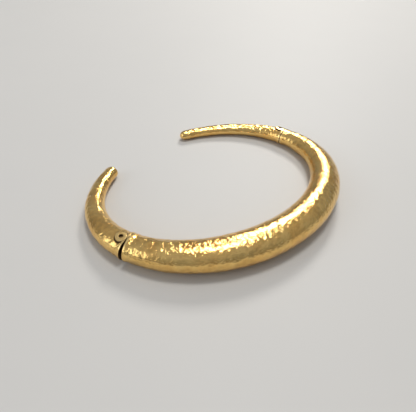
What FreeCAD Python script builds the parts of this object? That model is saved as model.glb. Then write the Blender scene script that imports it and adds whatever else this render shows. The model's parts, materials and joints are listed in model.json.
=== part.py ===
import FreeCAD, Part
import math
import os

from FreeCAD import Matrix, Placement, Rotation, Vector

# A hollow oval bangle, open at the back, with two short arms hinged to its front piece.
# X runs along the oval's long axis, -Y is the thick front, +Y is the open back, +Z is up.
# The origin is the middle of the oval, on the surface the bangle lies on.
# Driving dimensions in millimetres and degrees.
HALF_LENGTH = 32.4          # middle of the oval to the tube's centreline at its ends
HALF_WIDTH = 25.5           # middle of the oval to the tube's centreline at the front
END_RADIUS = 3.0            # half the tube's width at the oval's ends
TAPER = 0.055               # half-width gained per millimetre towards the front
LEFT_HINGE = 199.0          # ellipse angles of the hinges, from +X towards +Y
RIGHT_HINGE = 13.0
LEFT_ARM_END = 128.0        # ellipse angles where the arms' rounded ends begin
RIGHT_ARM_END = 76.0
FLATNESS = 0.86             # section height over section width
WALL = 0.45                 # sheet thickness of the shells
FRONT_SECTIONS = 25         # loft sections along the front piece
ARM_SECTIONS = 11           # loft sections along one arm

SEAM_GAP = 0.10             # air between the two end plates of a hinge, bangle closed
PLATE = 0.60                # thickness of an end plate
RIM = 0.06                  # how far plates and knuckles stand proud of the shells
OPENING = 14.0              # how far one arm swings out
RELIEF = OPENING / 2 + 1.2  # slope of each plate's face outside the pin

PIN_OUT = 0.50              # pin axis outside the tube's centreline
PIN_BACK = 1.60             # pin axis behind the seam
PIN_RADIUS = 0.45
PIN_SUNK = 0.35             # pin ends below the faces of the knuckles
KNUCKLE_RADIUS = 1.40
MIDDLE_HALF_HEIGHT = 0.72   # half the height of the middle knuckle
AXIAL_GAP = 0.05            # between stacked knuckles
RUNNING = 0.03              # radial clearance of the pin in the middle knuckle
SWEEP_GAP = 0.06            # around the middle knuckle and its web in the arm's plate
WEB_HALF_WIDTH = 0.60       # web that ties the middle knuckle to the front plate
WINDOW_OUT = 1.06           # outer side of the arm plate's window, for the turned web

HEEL_NEAR = 1.25            # heel faces, inwards from the pin axis
HEEL_FAR = 1.75
HEEL_LENGTH = 1.75          # reach of the heel in front of the seam
HEEL_HALF_HEIGHT = 0.55
HEEL_ROOT = 0.35            # depth of the heel in its own plate
SLOT_FAR = 2.45             # inner end of the heel's slot in the front plate
SLOT_GAP = 0.07

LEAF = 0.20                 # spring leaf thickness
LEAF_HALF_HEIGHT = 0.70
LEAF_GAP = 0.02             # leaf to heel, bangle closed
LEAF_TIP = 1.05             # front of the seam where the leaf's tip ends
LEAF_BEND = 2.45            # front of the seam where the leaf turns
LEAF_LENGTH = 6.80          # from the bend to the root
LEAF_ANGLE = 20.0           # slope of the leaf inwards
ANCHOR_LENGTH = 1.70
ANCHOR_DEPTH = 2.60
ANCHOR_HALF_HEIGHT = 0.90

CAP_LENGTH = 1.60           # length of a terminal's rounded end
SPIGOT_LENGTH = 0.80        # part of a terminal inside the tube
SPIGOT_GAP = 0.02
FAR = 100.0                 # larger than the whole bangle

UP = Vector(0, 0, 1)


def centre(angle):
    """Point of the tube's centreline at an ellipse angle, with the tube's bottom level."""
    x = HALF_LENGTH * math.cos(math.radians(angle))
    y = HALF_WIDTH * math.sin(math.radians(angle))
    return Vector(x, y, FLATNESS * half_width(angle))


def half_width(angle):
    """Half the tube's width at an ellipse angle."""
    return END_RADIUS - TAPER * HALF_WIDTH * math.sin(math.radians(angle))


def tangent(angle):
    """Level unit vector along the centreline, with the angle growing."""
    x = -HALF_LENGTH * math.sin(math.radians(angle))
    y = HALF_WIDTH * math.cos(math.radians(angle))
    return Vector(x, y, 0).normalize()


def outward(angle):
    """Level unit vector across the tube, away from the middle."""
    along = tangent(angle)
    return Vector(along.y, -along.x, 0)


def half_ellipse(angle, inset, direction):
    """Half of the section's ellipse, from its outer end over direction to its inner end."""
    middle = centre(angle)
    across = outward(angle) * (half_width(angle) - inset)
    height = direction * (FLATNESS * half_width(angle) - inset)
    ellipse = Part.Ellipse(middle + across, middle + height, middle)
    return Part.ArcOfEllipse(ellipse, 0, math.pi).toShape()


def half_ring(angle, direction):
    """Closed wire of half a tube wall, above (+Z) or below (-Z) the tube's middle."""
    outer = half_ellipse(angle, 0, direction)
    inner = half_ellipse(angle, WALL, direction)
    outer_ends = [outer.Vertexes[0].Point, outer.Vertexes[-1].Point]
    inner_ends = [inner.Vertexes[0].Point, inner.Vertexes[-1].Point]
    inner_side = Part.makeLine(outer_ends[1], inner_ends[1])
    outer_side = Part.makeLine(inner_ends[0], outer_ends[0])
    return Part.Wire([outer, inner_side, inner, outer_side])


def half_tube(start, stop, count, direction):
    """Upper or lower shell between two ellipse angles."""
    angles = [start + (stop - start) * i / (count - 1) for i in range(count)]
    return Part.makeLoft([half_ring(angle, direction) for angle in angles], True, False)


def block(x_low, x_high, y_low, y_high, z_low, z_high):
    """Plain block between two corners."""
    size = Vector(x_high - x_low, y_high - y_low, z_high - z_low)
    return Part.makeBox(size.x, size.y, size.z, Vector(x_low, y_low, z_low))


def prism(points, z_low, z_high):
    """Solid from a level outline between two heights."""
    lowered = [Vector(point[0], point[1], z_low) for point in points]
    face = Part.Face(Part.makePolygon(lowered + lowered[:1]))
    return face.extrude(UP * (z_high - z_low))


class Hinge:
    """One hinge in its own frame: X outwards across the tube, Y into the arm, seam at Y = 0."""

    def __init__(self, angle, arm_end):
        """Take the ellipse angles of the hinge and of the far end of its arm."""
        self.angle = angle
        self.arm_end = arm_end
        self.arm_direction = 1 if arm_end > angle else -1
        self.radius = half_width(angle)
        self.middle = FLATNESS * self.radius
        self.top = 2 * self.middle + RIM

    def place(self, shape):
        """Shape moved from the hinge's frame to its place on the bangle."""
        if self.arm_direction < 0:
            shape = shape.mirror(Vector(0, 0, 0), Vector(0, 1, 0))
        across = outward(self.angle)
        turn = Rotation(UP, math.degrees(math.atan2(across.y, across.x)))
        spot = centre(self.angle)
        return shape.transformed(Placement(Vector(spot.x, spot.y, 0), turn).toMatrix())

    def barrel(self, radius, z_low, z_high):
        """Upright cylinder on the pin's axis."""
        return Part.makeCylinder(radius, z_high - z_low, Vector(PIN_OUT, PIN_BACK, z_low))

    def bar(self, proud, y_low, y_high):
        """Straight bar with the tube's section, standing proud of it, never below z = 0."""
        middle = Vector(0, y_low, self.middle)
        across = Vector(self.radius + proud, 0, 0)
        ellipse = Part.Ellipse(middle + across, middle + UP * (self.middle + proud), middle)
        bar = Part.Face(Part.Wire(ellipse.toShape())).extrude(Vector(0, y_high - y_low, 0))
        return bar.common(block(-FAR, FAR, -FAR, FAR, 0, FAR))

    def relief(self, side):
        """Wedge outside the pin that lets the arm swing: side -1 cuts the front, +1 the arm."""
        seam = side * SEAM_GAP / 2
        reach = 2 * self.radius
        slope = math.tan(math.radians(RELIEF))
        outline = [
            (PIN_OUT, seam - side * PLATE),
            (PIN_OUT, seam),
            (PIN_OUT + reach, seam + side * slope * reach),
            (PIN_OUT + reach, seam - side * PLATE),
        ]
        return prism(outline, -1, 2 * self.top)

    def beside_pin(self, near, far, y_low, y_high, half_height):
        """Block at mid-height, near and far measured inwards from the pin's axis."""
        z_low = self.middle - half_height
        return block(PIN_OUT - far, PIN_OUT - near, y_low, y_high, z_low, z_low + 2 * half_height)

    def heel(self):
        """Tongue of the arm that reaches through the front plate to the spring."""
        return self.beside_pin(HEEL_NEAR, HEEL_FAR, -HEEL_LENGTH, HEEL_ROOT, HEEL_HALF_HEIGHT)

    def front_plate(self):
        """Plate that closes the front tube, with a slot that the heel swings in."""
        seam = -SEAM_GAP / 2
        half_height = HEEL_HALF_HEIGHT + SLOT_GAP
        slot = self.beside_pin(HEEL_NEAR - SLOT_GAP, SLOT_FAR, -FAR, FAR, half_height)
        return self.bar(RIM, seam - PLATE, seam).cut([self.relief(-1), slot])

    def arm_plate(self):
        """Plate that closes the arm: knuckle seats, a window for the web, the heel's root."""
        seam = SEAM_GAP / 2
        half_height = MIDDLE_HALF_HEIGHT + AXIAL_GAP
        z_low, z_high = self.middle - half_height, self.middle + half_height
        seat = self.barrel(KNUCKLE_RADIUS, -1, 2 * self.top)
        window = self.beside_pin(-WINDOW_OUT, WEB_HALF_WIDTH + SWEEP_GAP, -FAR, FAR, half_height)
        cuts = [self.relief(1), seat, window, self.heel()]
        return self.bar(RIM, seam, seam + PLATE).cut(cuts)

    def end_knuckle(self, z_low, z_high):
        """Upper or lower knuckle: fixed to the arm, its end dressed to the tube's curve."""
        ring = self.barrel(KNUCKLE_RADIUS, z_low, z_high).common(self.bar(RIM, -FAR, FAR))
        return ring.cut(self.barrel(PIN_RADIUS, -1, 2 * self.top))

    def middle_knuckle(self):
        """Middle knuckle: fixed to the front plate by a web, turning on the pin."""
        z_low, z_high = self.middle - MIDDLE_HALF_HEIGHT, self.middle + MIDDLE_HALF_HEIGHT
        web = self.beside_pin(-WEB_HALF_WIDTH, WEB_HALF_WIDTH, -SEAM_GAP / 2, PIN_BACK, MIDDLE_HALF_HEIGHT)
        bore = self.barrel(PIN_RADIUS + RUNNING, z_low, z_high)
        ring = self.barrel(KNUCKLE_RADIUS - SWEEP_GAP, z_low, z_high)
        return ring.fuse(web).cut(bore).removeSplitter()

    def pin(self):
        """Hinge pin with both ends sunk in the end knuckles."""
        crown = self.middle * math.sqrt(1 - (PIN_OUT / self.radius) ** 2)
        half_height = crown - PIN_SUNK
        return self.barrel(PIN_RADIUS, self.middle - half_height, self.middle + half_height)

    def leaf_point(self, along, through):
        """Point of the leaf's straight run, from its bend and from its heel face."""
        slope = math.radians(LEAF_ANGLE)
        inwards = HEEL_FAR + LEAF_GAP + along * math.sin(slope) + through * math.cos(slope)
        y = -LEAF_BEND - along * math.cos(slope) + through * math.sin(slope)
        return (PIN_OUT - inwards, y)

    def leaf(self):
        """Flat spring that presses the heel, with its tip parallel to the heel."""
        tip = PIN_OUT - HEEL_FAR - LEAF_GAP
        bend_shift = LEAF * math.tan(math.radians(LEAF_ANGLE / 2))
        outline = [
            (tip, -LEAF_TIP),
            self.leaf_point(0, 0),
            self.leaf_point(LEAF_LENGTH, 0),
            self.leaf_point(LEAF_LENGTH, LEAF),
            (tip - LEAF, -LEAF_BEND + bend_shift),
            (tip - LEAF, -LEAF_TIP),
        ]
        return prism(outline, self.middle - LEAF_HALF_HEIGHT, self.middle + LEAF_HALF_HEIGHT)

    def anchor(self):
        """Block behind the leaf's root, still reaching through the tube's inner wall."""
        start = LEAF_LENGTH - ANCHOR_LENGTH
        outline = [
            self.leaf_point(start, LEAF),
            self.leaf_point(LEAF_LENGTH, LEAF),
            self.leaf_point(LEAF_LENGTH, ANCHOR_DEPTH),
            self.leaf_point(start, ANCHOR_DEPTH),
        ]
        return prism(outline, self.middle - ANCHOR_HALF_HEIGHT, self.middle + ANCHOR_HALF_HEIGHT)

    def pieces(self):
        """Every piece of the hinge in its place, by its name without the side."""
        knuckle_edge = MIDDLE_HALF_HEIGHT + AXIAL_GAP
        local = {
            "arm_end_plate": self.arm_plate(),
            "front_end_plate": self.front_plate(),
            "hinge_upper_knuckle": self.end_knuckle(self.middle + knuckle_edge, 2 * self.top),
            "hinge_middle_knuckle": self.middle_knuckle(),
            "hinge_lower_knuckle": self.end_knuckle(-1, self.middle - knuckle_edge),
            "hinge_pin": self.pin(),
            "hinge_heel": self.heel(),
            "spring_leaf": self.leaf(),
            "spring_anchor": self.anchor(),
        }
        return {name: self.place(shape) for name, shape in local.items()}

    def behind_plate(self):
        """Half of space that holds the arm's shells, clear of its end plate."""
        return self.place(block(-FAR, FAR, SEAM_GAP / 2 + PLATE, FAR, -FAR, FAR))


def make_cap(angle, direction):
    """Rounded end of an arm with a spigot that fits inside its shells."""
    radius = half_width(angle)
    height = FLATNESS * radius
    along = tangent(angle) * direction
    across = outward(angle) * direction
    middle = centre(angle)
    x_axis, y_axis, z_axis = UP * height, across * radius, along * CAP_LENGTH
    stretch = Matrix(
        x_axis.x, y_axis.x, z_axis.x, middle.x,
        x_axis.y, y_axis.y, z_axis.y, middle.y,
        x_axis.z, y_axis.z, z_axis.z, middle.z,
        0, 0, 0, 1,
    )
    dome = Part.makeSphere(1, Vector(0, 0, 0), UP, 0, 90).transformGeometry(stretch)
    inset = WALL + SPIGOT_GAP
    ellipse = Part.Ellipse(middle + across * (radius - inset), middle + UP * (height - inset), middle)
    face = Part.Face(Part.Wire(ellipse.toShape()))
    return dome.fuse(face.extrude(along * -SPIGOT_LENGTH)).removeSplitter()


def nearest_solid(shape, point):
    """The one solid of a cut shape whose middle is nearest a point."""
    return min(shape.Solids, key=lambda solid: solid.CenterOfMass.distanceToPoint(point))


def make_front(left, right):
    """Two shells of the front piece, cut square behind its end plates."""
    shells = {}
    for name, direction in (("upper", UP), ("lower", -UP)):
        tube = half_tube(left.angle, right.angle + 360, FRONT_SECTIONS, direction)
        centre_point = centre(270)
        for hinge in (left, right):
            cutter = hinge.place(block(-FAR / 4, FAR / 4, -SEAM_GAP / 2 - PLATE, PLATE, -FAR, FAR))
            tube = nearest_solid(tube.cut(cutter), centre_point)
        shells["front_" + name + "_shell"] = tube
    return shells


def make_arm(hinge):
    """Shells and rounded end of one arm, by their names without the side."""
    seat = hinge.place(hinge.barrel(KNUCKLE_RADIUS, -1, 2 * hinge.top))
    space = hinge.behind_plate()
    arm = {"terminal_cap": make_cap(hinge.arm_end, hinge.arm_direction)}
    for name, direction in (("upper", UP), ("lower", -UP)):
        tube = half_tube(hinge.angle, hinge.arm_end, ARM_SECTIONS, direction)
        arm["arm_" + name + "_shell"] = tube.common(space).cut(seat)
    return arm


def main():
    """Build every piece and write one STEP file for each."""
    os.makedirs("parts", exist_ok=True)
    hinges = {
        "left": Hinge(LEFT_HINGE, LEFT_ARM_END),
        "right": Hinge(RIGHT_HINGE, RIGHT_ARM_END),
    }
    pieces = make_front(hinges["left"], hinges["right"])
    shells = list(pieces.values())
    for side, hinge in hinges.items():
        side_pieces = {**hinge.pieces(), **make_arm(hinge)}
        for name, shape in side_pieces.items():
            pieces[side + "_" + name] = shape
        leaf = pieces[side + "_spring_leaf"]
        anchor = pieces[side + "_spring_anchor"].cut(shells)
        pieces[side + "_spring_anchor"] = nearest_solid(anchor, leaf.CenterOfMass)
    for name, shape in pieces.items():
        shape.exportStep("parts/" + name + ".step")
        box = shape.optimalBoundingBox()
        edges = (box.XMin, box.XMax, box.YMin, box.YMax, box.ZMin, box.ZMax)
        size = [round(value, 2) for value in edges]
        print(name, len(shape.Solids), shape.isValid(), round(shape.Volume, 2), size)


main()
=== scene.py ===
"""Hollow hammered gold bangle with two sprung arms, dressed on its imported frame."""

import json
import logging
import math
from dataclasses import dataclass
from enum import Enum

import bmesh
import bpy
from mathutils import Matrix, Vector, noise

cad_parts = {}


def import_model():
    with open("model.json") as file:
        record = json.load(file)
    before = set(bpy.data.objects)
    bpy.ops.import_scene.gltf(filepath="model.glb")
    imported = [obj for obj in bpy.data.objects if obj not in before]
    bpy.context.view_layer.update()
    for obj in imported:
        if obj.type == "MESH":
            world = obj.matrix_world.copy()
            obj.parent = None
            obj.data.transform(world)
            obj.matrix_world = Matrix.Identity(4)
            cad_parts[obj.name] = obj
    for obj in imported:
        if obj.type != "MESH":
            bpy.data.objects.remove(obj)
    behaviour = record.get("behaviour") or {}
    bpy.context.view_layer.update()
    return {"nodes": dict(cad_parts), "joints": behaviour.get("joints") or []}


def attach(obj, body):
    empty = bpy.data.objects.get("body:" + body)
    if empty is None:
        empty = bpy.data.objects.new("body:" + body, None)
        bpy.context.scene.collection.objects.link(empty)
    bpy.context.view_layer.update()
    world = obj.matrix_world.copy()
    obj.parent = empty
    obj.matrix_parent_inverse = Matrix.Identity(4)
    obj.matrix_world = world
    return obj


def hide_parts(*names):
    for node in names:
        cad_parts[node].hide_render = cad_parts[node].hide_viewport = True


LOG = logging.getLogger("bangle")
UP = Vector((0.0, 0.0, 1.0))
Colour = tuple[float, float, float, float]
Nodes = dict[str, bpy.types.Object]
# Degrees above which an edge stays sharp, on the tube and on the small parts.
TUBE_CREASE = 50.0
PART_CREASE = 32.0
# Places the hammer marks, so that every run makes the same ones.
HAMMER_SEED = 7
# Ellipse angles in degrees of each hinge's seam, and of the far end of its arm.
HINGE_ANGLES = {"left": (199.0, 128.0), "right": (13.0, 76.0)}


# Finishes


class NodeBench:
    """Lays out and links the nodes of one material."""

    def __init__(self, name: str) -> None:
        """Start a material that has only its shader.

        Args:
            name: name of the material.
        """
        self.material = bpy.data.materials.new(name)
        self.material.use_nodes = True
        self.nodes = self.material.node_tree.nodes
        self.links = self.material.node_tree.links
        self.shader = self.nodes["Principled BSDF"]
        self.place = self.nodes.new("ShaderNodeTexCoord").outputs["Object"]

    def set_input(self, name: str, value: float | Colour) -> None:
        """Set a shader socket that is the same all over the surface."""
        self.shader.inputs[name].default_value = value

    def feed(self, name: str, source: bpy.types.NodeSocket) -> None:
        """Drive a shader socket from a pattern."""
        self.links.new(source, self.shader.inputs[name])

    def stretched(self, scale: Vector) -> bpy.types.NodeSocket:
        """Object coordinates, stretched along the axes.

        Args:
            scale: factor on each axis.

        Returns:
            The stretched coordinates.
        """
        node = self.nodes.new("ShaderNodeMapping")
        node.inputs["Scale"].default_value = scale
        self.links.new(self.place, node.inputs["Vector"])
        return node.outputs["Vector"]

    def grain(
        self, size: float, detail: float, place: bpy.types.NodeSocket | None = None
    ) -> bpy.types.NodeSocket:
        """Soft random pattern.

        Args:
            size: rough width of its patches, in metres.
            detail: how many finer layers it has.
            place: coordinates that it reads, or None for the object's own.

        Returns:
            A value between 0 and 1.
        """
        node = self.nodes.new("ShaderNodeTexNoise")
        node.inputs["Scale"].default_value = 1.0 / size
        node.inputs["Detail"].default_value = detail
        self.links.new(place or self.place, node.inputs["Vector"])
        return node.outputs["Fac"]

    def cells(self, size: float) -> bpy.types.NodeSocket:
        """Distance from the middle of the nearest of many cells.

        Args:
            size: rough width of a cell, in metres.

        Returns:
            A value that is 0 in the middle of a cell.
        """
        node = self.nodes.new("ShaderNodeTexVoronoi")
        node.inputs["Scale"].default_value = 1.0 / size
        self.links.new(self.place, node.inputs["Vector"])
        return node.outputs["Distance"]

    def mark(self, name: str) -> bpy.types.NodeSocket:
        """Value that the mesh carries at each point."""
        node = self.nodes.new("ShaderNodeAttribute")
        node.attribute_name = name
        return node.outputs["Fac"]

    def remap(
        self, source: bpy.types.NodeSocket, low: float, high: float, to_low: float, to_high: float
    ) -> bpy.types.NodeSocket:
        """Value moved from one range to another, and kept inside it.

        Args:
            source: the value.
            low: lower end of its range.
            high: upper end of its range.
            to_low: what the lower end becomes.
            to_high: what the upper end becomes.

        Returns:
            The moved value.
        """
        node = self.nodes.new("ShaderNodeMapRange")
        for name, value in zip(
            ("From Min", "From Max", "To Min", "To Max"), (low, high, to_low, to_high)
        ):
            node.inputs[name].default_value = value
        self.links.new(source, node.inputs["Value"])
        return node.outputs["Result"]

    def combine(
        self, operation: str, first: bpy.types.NodeSocket, second: bpy.types.NodeSocket | float
    ) -> bpy.types.NodeSocket:
        """Two values put together.

        Args:
            operation: name of the operation, such as ADD.
            first: the first value.
            second: the second value, or a number.

        Returns:
            The result.
        """
        node = self.nodes.new("ShaderNodeMath")
        node.operation = operation
        self.links.new(first, node.inputs[0])
        if isinstance(second, float):
            node.inputs[1].default_value = second
        else:
            self.links.new(second, node.inputs[1])
        return node.outputs["Value"]

    def blend_colour(
        self,
        share: bpy.types.NodeSocket,
        first: bpy.types.NodeSocket | Colour,
        second: Colour,
    ) -> bpy.types.NodeSocket:
        """Colour between two colours.

        Args:
            share: 0 for the first colour, 1 for the second.
            first: the first colour, plain or from a node.
            second: the second colour.

        Returns:
            The mixed colour.
        """
        node = self.nodes.new("ShaderNodeMix")
        node.data_type = "RGBA"
        self.links.new(share, node.inputs["Factor"])
        if isinstance(first, tuple):
            node.inputs["A"].default_value = first
        else:
            self.links.new(first, node.inputs["A"])
        node.inputs["B"].default_value = second
        return node.outputs["Result"]

    def emboss(
        self,
        height: bpy.types.NodeSocket,
        distance: float,
        under: bpy.types.NodeSocket | None = None,
    ) -> bpy.types.NodeSocket:
        """Surface direction bent by a small relief.

        Args:
            height: the relief, 0 to 1.
            distance: how high 1 is, in metres.
            under: surface direction that it adds to.

        Returns:
            The bent surface direction.
        """
        node = self.nodes.new("ShaderNodeBump")
        node.inputs["Distance"].default_value = distance
        self.links.new(height, node.inputs["Height"])
        if under is not None:
            self.links.new(under, node.inputs["Normal"])
        return node.outputs["Normal"]


@dataclass(frozen=True)
class HammeredGold:
    """Yellow gold sheet, hammered all over and polished on the high spots, with painted dark
    reflections in its dents and specks and painted shade along its joints.
    """

    name: str = "hammered_gold"
    bright: Colour = (0.96, 0.65, 0.23, 1.0)
    warm: Colour = (0.91, 0.55, 0.17, 1.0)
    # recess is the colour of the painted shade: dark reflections in the dents and specks, and shade
    # along the joints.
    recess: Colour = (0.30, 0.16, 0.05, 1.0)
    polish: float = 0.08
    haze: float = 0.19
    patch: float = 0.0045
    speck: float = 0.00026
    smear: float = 0.0011
    crinkle: float = 0.0005
    crinkle_height: float = 0.00011
    stroke: float = 0.00009
    stroke_height: float = 0.000004
    stroke_stretch: Vector = Vector((1.0, 1.0, 0.25))
    joint_shade: float = 0.85
    joint_haze: float = 0.25

    def material(self) -> bpy.types.Material:
        """Build the material.

        Returns:
            The material, which reads the marks dent and joint from the mesh.
        """
        bench = NodeBench(self.name)
        bench.set_input("Metallic", 1.0)
        joint = bench.mark("joint")
        patches = bench.remap(bench.grain(self.patch, 3.0), 0.38, 0.66, 0.0, 1.0)
        colour = bench.blend_colour(patches, self.bright, self.warm)
        # Dents and dark specks take the recess colour: painted dark reflections of the surroundings
        # in the steep facets.
        hollow = bench.remap(bench.mark("dent"), 0.42, 0.90, 0.0, 0.42)
        speck_reflection = bench.remap(bench.grain(self.speck, 2.0), 0.52, 0.72, 0.0, 0.26)
        # The joint mark paints shade along the seams and round the knuckles: it darkens the colour
        # and dulls the surface.
        line = bench.combine("MULTIPLY", joint, self.joint_shade)
        painted_shade = bench.combine("MAXIMUM", hollow, line)
        painted_shade = bench.combine("MAXIMUM", painted_shade, speck_reflection)
        bench.feed("Base Color", bench.blend_colour(painted_shade, colour, self.recess))
        smears = bench.remap(bench.grain(self.smear, 4.0), 0.32, 0.72, self.polish, self.haze)
        dulled = bench.combine("MULTIPLY", joint, self.joint_haze)
        bench.feed("Roughness", bench.combine("ADD", smears, dulled))
        crinkle = bench.emboss(bench.grain(self.crinkle, 3.0), self.crinkle_height)
        strokes = bench.grain(self.stroke, 2.0, bench.stretched(self.stroke_stretch))
        bench.feed("Normal", bench.emboss(strokes, self.stroke_height, crinkle))
        return bench.material


@dataclass(frozen=True)
class FiledGold:
    """Solid yellow gold, filed and polished by hand."""

    name: str = "filed_gold"
    bright: Colour = (0.97, 0.69, 0.29, 1.0)
    warm: Colour = (0.88, 0.55, 0.19, 1.0)
    recess: Colour = (0.30, 0.17, 0.06, 1.0)
    polish: float = 0.16
    haze: float = 0.32
    patch: float = 0.0016
    pit: float = 0.0004
    wave: float = 0.0007
    wave_height: float = 0.00003
    stroke: float = 0.00007
    stroke_height: float = 0.000006
    stroke_stretch: Vector = Vector((1.0, 0.3, 0.12))

    def material(self) -> bpy.types.Material:
        """Build the material.

        Returns:
            The material.
        """
        bench = NodeBench(self.name)
        bench.set_input("Metallic", 1.0)
        patches = bench.remap(bench.grain(self.patch, 2.0), 0.35, 0.7, 0.0, 1.0)
        colour = bench.blend_colour(patches, self.bright, self.warm)
        pits = bench.remap(bench.cells(self.pit), 0.0, 0.16, 0.55, 0.0)
        bench.feed("Base Color", bench.blend_colour(pits, colour, self.recess))
        strokes = bench.grain(self.stroke, 3.0, bench.stretched(self.stroke_stretch))
        bench.feed("Roughness", bench.remap(strokes, 0.3, 0.7, self.polish, self.haze))
        relief = bench.emboss(strokes, self.stroke_height)
        waves = bench.grain(self.wave, 2.0)
        bench.feed("Normal", bench.emboss(waves, self.wave_height, relief))
        return bench.material


class Finish(Enum):
    """Finishes of the bangle's pieces, most by the record's material slots."""

    SHEET = "gold_sheet"
    PLAIN = "gold_plain"
    JOINT = "joint_faces"
    WIRE = "hard_gold"
    SPRING = "spring_gold"


class FinishShelf:
    """Makes each finish once and hands it out."""

    def __init__(self) -> None:
        """Build the materials."""
        self.materials = {
            Finish.SHEET: HammeredGold().material(),
            Finish.PLAIN: FiledGold().material(),
            # Joint faces: near-black gold that paints shade in the seams, the bores and round the
            # knuckles, with some grime.
            Finish.JOINT: FiledGold(
                name="joint_faces",
                bright=(0.16, 0.10, 0.045, 1.0),
                warm=(0.09, 0.055, 0.028, 1.0),
                recess=(0.03, 0.02, 0.012, 1.0),
                polish=0.42,
                haze=0.7,
            ).material(),
            # Pin: dark gold that paints the shade inside the knuckle's bore.
            Finish.WIRE: FiledGold(
                name="shaded_wire_gold",
                bright=(0.34, 0.22, 0.09, 1.0),
                warm=(0.20, 0.12, 0.05, 1.0),
                recess=(0.06, 0.04, 0.02, 1.0),
                polish=0.35,
                haze=0.6,
                stroke_stretch=Vector((1.0, 1.0, 0.1)),
            ).material(),
            Finish.SPRING: FiledGold(
                name="spring_gold",
                bright=(0.93, 0.72, 0.36, 1.0),
                warm=(0.84, 0.60, 0.28, 1.0),
                polish=0.2,
                haze=0.3,
                stroke_stretch=Vector((0.2, 0.2, 1.0)),
            ).material(),
        }

    def dress(self, piece: bpy.types.Object, finish: Finish) -> None:
        """Give a piece its material.

        Args:
            piece: the piece.
            finish: its finish.
        """
        piece.data.materials.append(self.materials[finish])

    def paint_joint_shade(self, piece: bpy.types.Object, in_joint: list[bool]) -> None:
        """Give the dark joint finish, painted shade with some grime, to the faces of a piece that
        meet another part.

        Args:
            piece: a piece that already has its own finish.
            in_joint: for each face, whether it is in the joint.
        """
        piece.data.materials.append(self.materials[Finish.JOINT])
        piece.data.polygons.foreach_set("material_index", [int(inside) for inside in in_joint])


# Shapes


@dataclass(frozen=True)
class TubePath:
    """Oval line and tapered section of the tube, in metres and radians."""

    half_length: float = 0.0324
    half_width: float = 0.0255
    end_radius: float = 0.0030
    taper: float = 0.055
    flatness: float = 0.86

    def radius(self, angle: float) -> float:
        """Half the tube's width at an ellipse angle."""
        return self.end_radius - self.taper * self.half_width * math.sin(angle)

    def middle(self, angle: float) -> Vector:
        """Middle of the section at an ellipse angle."""
        return Vector(
            (
                self.half_length * math.cos(angle),
                self.half_width * math.sin(angle),
                self.flatness * self.radius(angle),
            )
        )

    def along(self, angle: float) -> Vector:
        """Level direction of the line, with the angle growing."""
        way = Vector(
            (-self.half_length * math.sin(angle), self.half_width * math.cos(angle), 0.0)
        )
        return way.normalized()

    def across(self, angle: float) -> Vector:
        """Level direction away from the oval's middle."""
        along = self.along(angle)
        return Vector((along.y, -along.x, 0.0))

    def skin(self, angle: float, turn: float, inset: float = 0.0) -> Vector:
        """Point of the tube's surface.

        Args:
            angle: ellipse angle of the section.
            turn: angle round the section, from its outer side over its top.
            inset: how far inside the surface.

        Returns:
            The point.
        """
        width = self.radius(angle) - inset
        height = self.flatness * self.radius(angle) - inset
        point = self.middle(angle) + self.across(angle) * (width * math.cos(turn))
        return point + UP * (height * math.sin(turn))

    def facing(self, angle: float, turn: float) -> Vector:
        """Direction that the surface faces.

        Args:
            angle: ellipse angle of the section.
            turn: angle round the section.

        Returns:
            A unit vector.
        """
        way = self.across(angle) * (self.flatness * math.cos(turn)) + UP * math.sin(turn)
        return way.normalized()


@dataclass(frozen=True)
class HammerMarks:
    """Overlapping dents of a small hammer, as depths below the plain surface."""

    blow: float = 0.00120
    blow_depth: float = 0.000070
    bowl_reach: float = 0.75
    sway: float = 0.0050
    sway_depth: float = 0.00011
    crease: float = 0.00052
    crease_depth: float = 0.000034
    stray: float = 0.00045

    def depth(self, spot: Vector) -> float:
        """Depth of the surface at a point.

        Args:
            spot: the point on the plain surface.

        Returns:
            The depth in metres, never below 0.
        """
        warped = spot + noise.noise_vector(spot / (2.0 * self.blow)) * self.stray
        nearest = noise.voronoi(warped / self.blow)[0][0]
        bowl = 1.0 - min(1.0, nearest / self.bowl_reach) ** 2
        sway = 0.5 + 0.5 * noise.noise(spot / self.sway)
        crease = 0.5 + 0.5 * noise.noise(warped / self.crease)
        return self.blow_depth * bowl + self.sway_depth * sway + self.crease_depth * crease

    @property
    def deepest(self) -> float:
        """Largest depth that the marks can reach."""
        return self.blow_depth + self.sway_depth + self.crease_depth


@dataclass(frozen=True)
class HingeSpot:
    """Where one hinge crosses the tube."""

    side: str
    angle: float
    arm_end: float
    pin: Vector
    path: TubePath

    @property
    def into_arm(self) -> Vector:
        """Level direction from the seam into the arm."""
        sign = 1.0 if self.arm_end > self.angle else -1.0
        return self.path.along(self.angle) * sign

    def behind_seam(self, point: Vector) -> float:
        """How far a point is into the arm from the seam."""
        return (point - self.path.middle(self.angle)).dot(self.into_arm)

    def angle_behind(self, turn: float, distance: float, start: float) -> float:
        """Ellipse angle at which a line along the tube crosses a plane beside the seam.

        Args:
            turn: angle of the line round the section.
            distance: the plane's distance into the arm, or below 0 into the front.
            start: a near ellipse angle on the same turn of the oval.

        Returns:
            The ellipse angle in radians.
        """
        angle, step = start, 0.01
        for _ in range(5):
            here = self.behind_seam(self.path.skin(angle, turn))
            ahead = self.behind_seam(self.path.skin(angle + step, turn))
            angle += step * (distance - here) / (ahead - here)
        return angle

    def from_pin(self, point: Vector) -> float:
        """Level distance of a point from the pin's axis."""
        return (point.xy - self.pin.xy).length


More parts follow.
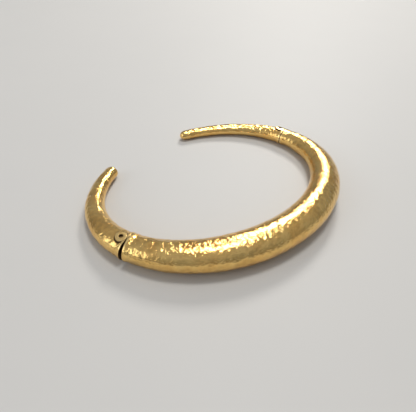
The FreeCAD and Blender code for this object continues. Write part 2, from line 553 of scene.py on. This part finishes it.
def finished(mesh_work: bmesh.types.BMesh, name: str, crease: float) -> bpy.types.Object:
    """Turn a finished bmesh into an object in the scene.

    Args:
        mesh_work: the bmesh, which is freed.
        name: name of the piece.
        crease: angle in degrees above which an edge stays sharp.

    Returns:
        The object.
    """
    mesh = bpy.data.meshes.new(name)
    mesh_work.to_mesh(mesh)
    mesh_work.free()
    mesh.shade_smooth()
    mesh.set_sharp_from_angle(angle=math.radians(crease))
    piece = bpy.data.objects.new(name, mesh)
    bpy.context.scene.collection.objects.link(piece)
    return piece


def eased(value: float, low: float, high: float) -> float:
    """Share from 0 at low to 1 at high, smooth at both ends."""
    share = min(1.0, max(0.0, (value - low) / (high - low)))
    return share * share * (3.0 - 2.0 * share)


@dataclass(frozen=True)
class HammeredTube:
    """Hollow hammered length of the bangle's tube, with its inner wall."""

    name: str
    body: str
    nodes: tuple[str, ...]
    path: TubePath
    marks: HammerMarks
    start: float
    stop: float
    hinges: tuple[HingeSpot, ...]
    outer_rings: int
    around: int
    inner_rings: int = 40
    look_inwards: float = 0.03
    wall: float = 0.00045
    plate_back: float = 0.00062
    seat_radius: float = 0.00156
    seat_reach: float = 0.00009
    seat_depth: float = 0.00045
    groove: float = 0.00020
    seat_range: float = 0.002
    plate_range: float = 0.008
    plate_shade: float = 0.30
    shade_reach: float = 0.0003
    lip_reach: float = 0.0010
    lip_height: float = 0.00005

    def ends(self, turn: float) -> tuple[float, float]:
        """Ellipse angles at which a line along the tube starts and stops.

        Args:
            turn: angle of the line round the section.

        Returns:
            The two angles.
        """
        limits = [self.start, self.stop]
        for index, limit in enumerate(limits):
            for hinge in self.hinges:
                gap = (limit - hinge.angle) / (2.0 * math.pi)
                if abs(gap - round(gap)) < 1e-6:
                    other = limits[1 - index]
                    inwards = math.copysign(self.look_inwards, other - limit)
                    towards = hinge.behind_seam(self.path.skin(limit + inwards, 0.0))
                    distance = math.copysign(self.plate_back, towards)
                    limits[index] = hinge.angle_behind(turn, distance, limit)
        return limits[0], limits[1]

    def seated(self, point: Vector) -> tuple[Vector, float]:
        """Round seat that an arm's knuckle is set into.

        Args:
            point: a point of the surface.

        Returns:
            Where it goes, and how close it is to a knuckle, 0 to 1; the closeness paints shade in
            the groove round the knuckle.
        """
        closeness = 0.0
        for hinge in self.hinges:
            distance = hinge.from_pin(point)
            if hinge.behind_seam(point) < 0.0 or distance > self.seat_range:
                continue
            closeness = 1.0 - eased(distance, self.seat_radius, self.seat_radius + self.groove)
            if distance < self.seat_radius + self.seat_reach:
                outwards = Vector((*(point.xy - hinge.pin.xy), 0.0)).normalized()
                rim = hinge.pin.xy + outwards.xy * min(self.seat_radius, distance + self.seat_reach)
                height = point.z
                if distance < self.seat_radius - self.seat_reach:
                    height -= math.copysign(self.seat_depth, point.z - hinge.pin.z)
                    rim = point.xy
                point = Vector((rim.x, rim.y, height))
        return point, closeness

    def beside_plate(self, point: Vector, reach: float) -> float:
        """How close a point is to the nearest end plate.

        Args:
            point: a point of the surface.
            reach: how far from the plate the value falls to 0.

        Returns:
            1 at the plate, 0 out of its reach.
        """
        gaps = [abs(hinge.behind_seam(point)) - self.plate_back for hinge in self.hinges]
        near = [
            gap
            for hinge, gap in zip(self.hinges, gaps)
            if hinge.from_pin(point) < self.plate_range
        ]
        return 1.0 - eased(min(near), 0.0, reach) if near else 0.0

    def build(self, shelf: FinishShelf) -> bpy.types.Object:
        """Make the tube from one grid wrapped over its outer and inner wall.

        Args:
            shelf: the finishes.

        Returns:
            The piece.
        """
        columns = self.outer_rings + self.inner_rings + 2
        work = bmesh.new()
        dent = work.verts.layers.float.new("dent")
        joint = work.verts.layers.float.new("joint")
        bmesh.ops.create_grid(work, x_segments=columns, y_segments=self.around, size=0.5)
        spans: dict[int, tuple[float, float]] = {}
        for vert in work.verts:
            column = round((vert.co.x + 0.5) * columns) % columns
            row = round((vert.co.y + 0.5) * self.around) % self.around
            turn = 2.0 * math.pi * row / self.around
            if row not in spans:
                spans[row] = self.ends(turn)
            first, last = spans[row]
            if column <= self.outer_rings:
                angle = first + (last - first) * column / self.outer_rings
                plain = self.path.skin(angle, turn)
                lip = self.beside_plate(plain, self.lip_reach)
                depth = self.marks.depth(plain) * (1.0 - lip)
                vert[dent] = depth / self.marks.deepest
                facing = self.path.facing(angle, turn)
                point, closeness = self.seated(plain + facing * (self.lip_height * lip - depth))
                vert.co = Vector((point.x, point.y, max(0.0, point.z)))
                # Painted shade: the joint mark darkens the groove round each knuckle and a thin
                # line along each end plate.
                line = self.plate_shade * self.beside_plate(point, self.shade_reach)
                vert[joint] = max(closeness, line)
            else:
                back = (column - self.outer_rings - 1) / self.inner_rings
                vert.co = self.path.skin(last + (first - last) * back, turn, self.wall)
        bmesh.ops.remove_doubles(work, verts=work.verts, dist=1e-7)
        if self.stop < self.start:
            bmesh.ops.reverse_faces(work, faces=work.faces)
        piece = finished(work, self.name, TUBE_CREASE)
        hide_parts(*self.nodes)
        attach(piece, self.body)
        shelf.dress(piece, Finish.SHEET)
        return piece


@dataclass(frozen=True)
class RoundedEnd:
    """Hammered dome that closes an arm, with its spigot."""

    name: str
    body: str
    node: str
    path: TubePath
    marks: HammerMarks
    angle: float
    direction: float
    length: float = 0.0016
    spigot: float = 0.0008
    spigot_inset: float = 0.00047
    segments: int = 112
    rings: int = 64

    def build(self, shelf: FinishShelf) -> bpy.types.Object:
        """Make the dome from half a ball, and draw its spigot out of the open side.

        Args:
            shelf: the finishes.

        Returns:
            The piece.
        """
        work = bmesh.new()
        dent = work.verts.layers.float.new("dent")
        work.verts.layers.float.new("joint")
        bmesh.ops.create_uvsphere(
            work, u_segments=self.segments, v_segments=self.rings, radius=1.0
        )
        bmesh.ops.bisect_plane(
            work,
            geom=[*work.verts, *work.edges, *work.faces],
            dist=1e-6,
            plane_co=Vector((0.0, 0.0, 0.0)),
            plane_no=UP,
            clear_inner=True,
        )
        radius = self.path.radius(self.angle)
        height = self.path.flatness * radius
        along = self.path.along(self.angle) * self.direction
        across = self.path.across(self.angle) * self.direction
        middle = self.path.middle(self.angle)
        shape = Matrix((UP * height, across * radius, along * self.length)).transposed()
        facing = shape.inverted().transposed()
        for vert in work.verts:
            plain = shape @ vert.co + middle
            depth = self.marks.depth(plain)
            way = (facing @ vert.co).normalized()
            vert[dent] = depth / self.marks.deepest
            vert.co = plain - way * depth
        rim = [edge for edge in work.edges if edge.is_boundary]
        inner_scale = 1.0 - self.spigot_inset / radius
        for move, scale in ((0.0, inner_scale), (self.spigot, 1.0)):
            made = bmesh.ops.extrude_edge_only(work, edges=rim)["geom"]
            verts = [item for item in made if isinstance(item, bmesh.types.BMVert)]
            rim = [item for item in made if isinstance(item, bmesh.types.BMEdge)]
            bmesh.ops.scale(
                work,
                vec=Vector((scale, scale, scale)),
                space=Matrix.Translation(-middle),
                verts=verts,
            )
            bmesh.ops.translate(work, vec=along * -move, verts=verts)
        bmesh.ops.holes_fill(work, edges=rim, sides=0)
        bmesh.ops.recalc_face_normals(work, faces=work.faces)
        piece = finished(work, self.name, TUBE_CREASE)
        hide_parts(self.node)
        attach(piece, self.body)
        shelf.dress(piece, Finish.SHEET)
        return piece


@dataclass(frozen=True)
class SoftenedPart:
    """Small solid part whose edges are rounded over by filing and wear."""

    node: str
    body: str
    finish: Finish
    round_over: float
    waviness: float = 0.0
    joint: HingeSpot | None = None
    sharp_edge: float = 40.0
    flat_join: float = 0.6
    wave: float = 0.0009
    ring_radius: float = 0.00140
    ring_reach: float = 0.00007
    bore_reach: float = 0.00051
    seam_reach: float = 0.0002
    facing_seam: float = 0.93
    turned_to_seam: float = 0.25

    def in_joint(self, face: bmesh.types.BMFace) -> bool:
        """Whether a face lies in the seam, or along the edge or bore of a knuckle.

        Args:
            face: a face of the finished shape.

        Returns:
            Whether it gets the dark joint finish of painted shade and grime.
        """
        middle = face.calc_center_median()
        facing = abs(face.normal.dot(self.joint.into_arm))
        near_seam = abs(self.joint.behind_seam(middle)) < self.seam_reach
        at_seam = facing > self.facing_seam or (near_seam and facing > self.turned_to_seam)
        distance = self.joint.from_pin(middle)
        beside_ring = abs(distance - self.ring_radius) < self.ring_reach
        return at_seam or beside_ring or distance < self.bore_reach

    def build(self, nodes: Nodes, shelf: FinishShelf) -> bpy.types.Object:
        """Copy the part's plain shape, merge it, and round its edges.

        Args:
            nodes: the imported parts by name.
            shelf: the finishes.

        Returns:
            The piece.
        """
        work = bmesh.new()
        work.from_mesh(nodes[self.node].data)
        bmesh.ops.remove_doubles(work, verts=work.verts, dist=1e-6)
        bmesh.ops.dissolve_limit(
            work, angle_limit=math.radians(self.flat_join), verts=work.verts, edges=work.edges
        )
        sharp = math.radians(self.sharp_edge)
        edges = [edge for edge in work.edges if edge.calc_face_angle(0.0) > sharp]
        bmesh.ops.bevel(
            work,
            geom=edges,
            offset=self.round_over,
            offset_type="OFFSET",
            affect="EDGES",
            segments=3,
            profile=0.5,
            material=-1,
            clamp_overlap=True,
        )
        work.normal_update()
        in_joint = [self.in_joint(face) for face in work.faces] if self.joint else []
        for vert in work.verts:
            vert.co += noise.noise_vector(vert.co / self.wave) * self.waviness
        piece = finished(work, self.node + "_finished", PART_CREASE)
        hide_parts(self.node)
        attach(piece, self.body)
        shelf.dress(piece, self.finish)
        if in_joint:
            shelf.paint_joint_shade(piece, in_joint)
        return piece


# Assemblies


@dataclass(frozen=True)
class FrontPiece:
    """Thick front of the bangle, with what is fixed to it at each hinge."""

    path: TubePath
    marks: HammerMarks
    left: HingeSpot
    right: HingeSpot
    outer_rings: int = 560
    around: int = 150
    wear: float = 0.00001
    plate_edge: float = 0.00012
    knuckle_edge: float = 0.00004
    leaf_edge: float = 0.00003
    anchor_edge: float = 0.00006

    def build(self, nodes: Nodes, shelf: FinishShelf) -> list[bpy.types.Object]:
        """Make the tube, end plates, middle knuckles, springs and anchors.

        Args:
            nodes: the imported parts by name.
            shelf: the finishes.

        Returns:
            The pieces.
        """
        tube = HammeredTube(
            name="front_tube",
            body="front",
            nodes=("front_upper_shell", "front_lower_shell"),
            path=self.path,
            marks=self.marks,
            start=self.left.angle,
            stop=self.right.angle + 2.0 * math.pi,
            hinges=(self.left, self.right),
            outer_rings=self.outer_rings,
            around=self.around,
        )
        made = [tube.build(shelf)]
        for hinge in (self.left, self.right):
            side, plain = hinge.side, Finish.PLAIN
            plate = side + "_front_end_plate"
            knuckle = side + "_hinge_middle_knuckle"
            parts = (
                SoftenedPart(plate, "front", plain, self.plate_edge, self.wear, hinge),
                SoftenedPart(knuckle, "front", plain, self.knuckle_edge),
                SoftenedPart(side + "_spring_leaf", "front", Finish.SPRING, self.leaf_edge),
                SoftenedPart(side + "_spring_anchor", "front", plain, self.anchor_edge),
            )
            made += [part.build(nodes, shelf) for part in parts]
        return made


@dataclass(frozen=True)
class SprungArm:
    """Short tapered arm that swings out on its hinge."""

    path: TubePath
    marks: HammerMarks
    hinge: HingeSpot
    outer_rings: int = 230
    around: int = 130
    wear: float = 0.00001
    plate_edge: float = 0.00012
    knuckle_edge: float = 0.00008
    pin_edge: float = 0.00010
    heel_edge: float = 0.00005

    def build(self, nodes: Nodes, shelf: FinishShelf) -> list[bpy.types.Object]:
        """Make the tube, rounded end, end plate, knuckles, pin and heel.

        Args:
            nodes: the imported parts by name.
            shelf: the finishes.

        Returns:
            The pieces.
        """
        side, hinge, plain = self.hinge.side, self.hinge, Finish.PLAIN
        body = side + "_arm"
        plate = side + "_arm_end_plate"
        upper, lower = side + "_hinge_upper_knuckle", side + "_hinge_lower_knuckle"
        tube = HammeredTube(
            name=side + "_arm_tube",
            body=body,
            nodes=(side + "_arm_upper_shell", side + "_arm_lower_shell"),
            path=self.path,
            marks=self.marks,
            start=hinge.angle,
            stop=hinge.arm_end,
            hinges=(hinge,),
            outer_rings=self.outer_rings,
            around=self.around,
        )
        cap = RoundedEnd(
            name=side + "_rounded_end",
            body=body,
            node=side + "_terminal_cap",
            path=self.path,
            marks=self.marks,
            angle=hinge.arm_end,
            direction=math.copysign(1.0, hinge.arm_end - hinge.angle),
        )
        made = [tube.build(shelf), cap.build(shelf)]
        parts = (
            SoftenedPart(plate, body, plain, self.plate_edge, self.wear, hinge),
            SoftenedPart(upper, body, plain, self.knuckle_edge, self.wear, hinge),
            SoftenedPart(lower, body, plain, self.knuckle_edge, self.wear, hinge),
            # The pin's dark finish is painted shade inside the bore.
            SoftenedPart(side + "_hinge_pin", body, Finish.WIRE, self.pin_edge),
            SoftenedPart(side + "_hinge_heel", body, plain, self.heel_edge),
        )
        return made + [part.build(nodes, shelf) for part in parts]


# Room


@dataclass(frozen=True)
class SoftLight:
    """Square soft light aimed at a point."""

    name: str
    place: Vector
    aim: Vector
    size: float
    power: float
    colour: tuple[float, float, float]

    def build(self) -> None:
        """Add the light to the scene."""
        lamp = bpy.data.lights.new(self.name, "AREA")
        lamp.shape = "SQUARE"
        lamp.size = self.size
        lamp.energy = self.power
        lamp.color = self.colour
        holder = bpy.data.objects.new(self.name, lamp)
        holder.location = self.place
        holder.rotation_euler = (self.aim - self.place).to_track_quat("-Z", "Y").to_euler()
        bpy.context.scene.collection.objects.link(holder)


@dataclass(frozen=True)
class Viewpoint:
    """Camera on a ball round a target, in degrees and metres."""

    target: Vector
    azimuth: float
    elevation: float
    distance: float
    roll: float
    lens: float

    def build(self) -> None:
        """Add the camera and make it the scene's camera."""
        azimuth, elevation = math.radians(self.azimuth), math.radians(self.elevation)
        forward = Vector(
            (
                -math.sin(azimuth) * math.cos(elevation),
                math.cos(azimuth) * math.cos(elevation),
                -math.sin(elevation),
            )
        )
        right = forward.cross(UP).normalized()
        up = right.cross(forward)
        turn = math.radians(self.roll)
        right, up = (
            right * math.cos(turn) + up * math.sin(turn),
            up * math.cos(turn) - right * math.sin(turn),
        )
        data = bpy.data.cameras.new("view")
        data.lens = self.lens
        data.sensor_width = 36.0
        data.clip_start, data.clip_end = 0.005, 10.0
        camera = bpy.data.objects.new("view", data)
        axes = Matrix((right, up, -forward)).transposed()
        place = self.target - forward * self.distance
        camera.matrix_world = Matrix.Translation(place) @ axes.to_4x4()
        bpy.context.scene.collection.objects.link(camera)
        bpy.context.scene.camera = camera


@dataclass(frozen=True)
class Studio:
    """Pale floor, soft lights and dim surroundings."""

    floor_size: float = 3.0
    floor_colour: Colour = (0.60, 0.59, 0.57, 1.0)
    floor_stain: Colour = (0.50, 0.50, 0.50, 1.0)
    floor_patch: float = 0.02
    wall_colour: Colour = (0.22, 0.23, 0.24, 1.0)
    ceiling_colour: Colour = (0.42, 0.43, 0.45, 1.0)
    wall_top: float = 0.05
    ceiling_edge: float = 0.80

    def build_floor(self) -> None:
        """Lay the pale floor under the bangle."""
        work = bmesh.new()
        bmesh.ops.create_grid(work, x_segments=2, y_segments=2, size=self.floor_size / 2.0)
        floor = finished(work, "floor", PART_CREASE)
        bench = NodeBench("pale_floor")
        bench.set_input("Roughness", 0.6)
        shade = bench.remap(bench.grain(self.floor_patch, 4.0), 0.3, 0.7, 0.0, 0.06)
        bench.feed("Base Color", bench.blend_colour(shade, self.floor_colour, self.floor_stain))
        floor.data.materials.append(bench.material)

    def build_lights(self) -> None:
        """Hang the lights."""
        aim = Vector((0.0, 0.0, 0.0))
        white, cool = (1.0, 0.97, 0.92), (0.93, 0.96, 1.0)
        lights = (
            SoftLight("window", Vector((0.37, 0.29, 0.36)), aim, 0.12, 1.5, white),
            SoftLight("ceiling", Vector((0.10, 0.03, 0.55)), aim, 0.13, 1.1, white),
            SoftLight("left_wall", Vector((-0.55, 0.15, 0.25)), aim, 0.35, 0.7, cool),
        )
        for light in lights:
            light.build()

    def build_surroundings(self) -> None:
        """Light the room from its walls up to a paler ceiling."""
        world = bpy.data.worlds.new("surroundings")
        world.use_nodes = True
        nodes, links = world.node_tree.nodes, world.node_tree.links
        height = nodes.new("ShaderNodeSeparateXYZ")
        fade = nodes.new("ShaderNodeMapRange")
        fade.inputs["From Min"].default_value = self.wall_top
        fade.inputs["From Max"].default_value = self.ceiling_edge
        walls = nodes.new("ShaderNodeMix")
        walls.data_type = "RGBA"
        walls.inputs["A"].default_value = self.wall_colour
        walls.inputs["B"].default_value = self.ceiling_colour
        links.new(nodes.new("ShaderNodeTexCoord").outputs["Generated"], height.inputs["Vector"])
        links.new(height.outputs["Z"], fade.inputs["Value"])
        links.new(fade.outputs["Result"], walls.inputs["Factor"])
        links.new(walls.outputs["Result"], nodes["Background"].inputs["Color"])
        bpy.context.scene.world = world
        bpy.context.scene.view_settings.view_transform = "Standard"


def hinge_spot(side: str, angle: float, arm_end: float, path: TubePath, frame: dict) -> HingeSpot:
    """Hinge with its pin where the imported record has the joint.

    Args:
        side: left or right.
        angle: ellipse angle of the seam, in degrees.
        arm_end: ellipse angle of the arm's far end, in degrees.
        path: the tube's path.
        frame: the loaded frame.

    Returns:
        The hinge.
    """
    joints = {joint["name"]: joint for joint in frame["joints"]}
    pin = Vector(joints[side + "_arm_hinge"]["pos_m"])
    return HingeSpot(side, math.radians(angle), math.radians(arm_end), pin, path)


def main() -> None:
    """Build the bangle on its frame, then the room and the camera."""
    logging.basicConfig(level=logging.INFO, format="%(name)s: %(message)s")
    noise.seed_set(HAMMER_SEED)
    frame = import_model()
    shelf = FinishShelf()
    path, marks = TubePath(), HammerMarks()
    left, right = (
        hinge_spot(side, seam, arm_end, path, frame)
        for side, (seam, arm_end) in HINGE_ANGLES.items()
    )
    nodes = frame["nodes"]
    made = FrontPiece(path, marks, left, right).build(nodes, shelf)
    for hinge in (left, right):
        made += SprungArm(path, marks, hinge).build(nodes, shelf)
    for piece in made:
        LOG.info("%s: %d faces", piece.name, len(piece.data.polygons))
    studio = Studio()
    studio.build_floor()
    studio.build_lights()
    studio.build_surroundings()
    Viewpoint(
        target=Vector((-0.004497, -0.003004, -0.001990)),
        azimuth=-39.66,
        elevation=40.60,
        distance=0.11285,
        roll=2.72,
        lens=37.07,
    ).build()


if __name__ == "__main__":
    main()
